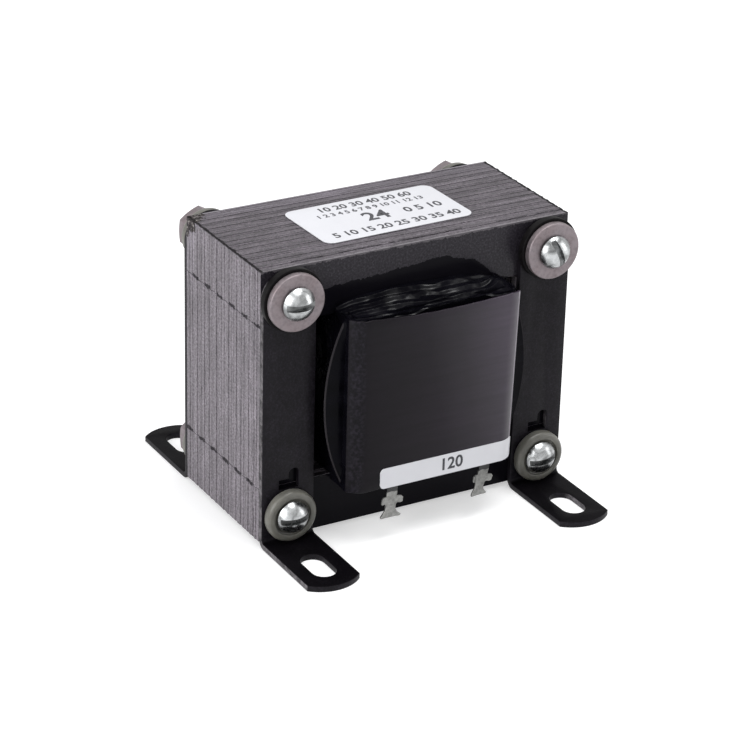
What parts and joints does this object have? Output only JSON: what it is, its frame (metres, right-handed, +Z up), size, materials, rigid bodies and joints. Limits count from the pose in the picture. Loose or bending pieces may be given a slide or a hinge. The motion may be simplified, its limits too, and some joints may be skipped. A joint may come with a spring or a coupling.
{
  "type": "laminated chassis transformer",
  "caption": "Open-frame mains transformer: a stacked E and I lamination core round a flat wound coil, clamped by insulated through bolts between slotted foot straps.",
  "frame": {"origin": "under the middle of the core, on the surface that the feet stand on", "axes": "+X to the right as seen from the label side of the coil, +Y from the label side to the back (along the stack of plates), +Z up"},
  "size_m": [0.068, 0.074, 0.0572],
  "materials": {
    "core_steel": "varnished lamination edges, half gloss",
    "kraft_paper": "varnish-soaked paper",
    "copper_wire": "enamelled copper wire",
    "black_wrap": "varnished black paper",
    "grey_pad": "smooth pressed board, satin",
    "black_steel": "black finish on sheet steel, half gloss",
    "zinc_steel": "bright plated steel",
    "washer_steel": "dull plated steel",
    "tin": "tinned brass",
    "black_fibre": "hard black fibre",
    "nylon": "natural nylon, cloudy",
    "sleeve_paper": "varnished paper tube",
    "label_white": "smooth coated paper"
  },
  "bodies": {
    "root": {"e_pack_01": "core_steel", "e_pack_02": "core_steel", "e_pack_03": "core_steel", "e_pack_04": "core_steel", "e_pack_05": "core_steel", "e_pack_06": "core_steel", "e_pack_07": "core_steel", "e_pack_08": "core_steel", "e_pack_09": "core_steel", "e_pack_10": "core_steel", "e_pack_11": "core_steel", "e_pack_12": "core_steel", "i_pack_01": "core_steel", "i_pack_02": "core_steel", "i_pack_03": "core_steel", "i_pack_04": "core_steel", "i_pack_05": "core_steel", "i_pack_06": "core_steel", "i_pack_07": "core_steel", "i_pack_08": "core_steel", "i_pack_09": "core_steel", "i_pack_10": "core_steel", "i_pack_11": "core_steel", "i_pack_12": "core_steel", "coil_former": "kraft_paper", "primary_winding": "copper_wire", "winding_barrier": "kraft_paper", "secondary_winding": "copper_wire", "winding_margins": "kraft_paper", "outer_wrap": "black_wrap", "front_pad": "grey_pad", "rear_pad": "grey_pad", "primary_lugs": "tin", "secondary_lugs": "tin", "primary_leads": "tin", "secondary_leads": "tin", "strap_front_left": "black_steel", "strap_front_right": "black_steel", "strap_rear_left": "black_steel", "strap_rear_right": "black_steel", "clamp_bolts": "zinc_steel", "bolt_sleeves": "sleeve_paper", "fibre_washers": "black_fibre", "steel_washers": "washer_steel", "nylon_washers": "nylon", "lock_washers": "zinc_steel", "nuts": "zinc_steel", "top_label": "label_white", "coil_label": "label_white"}
  },
  "joints": []
}
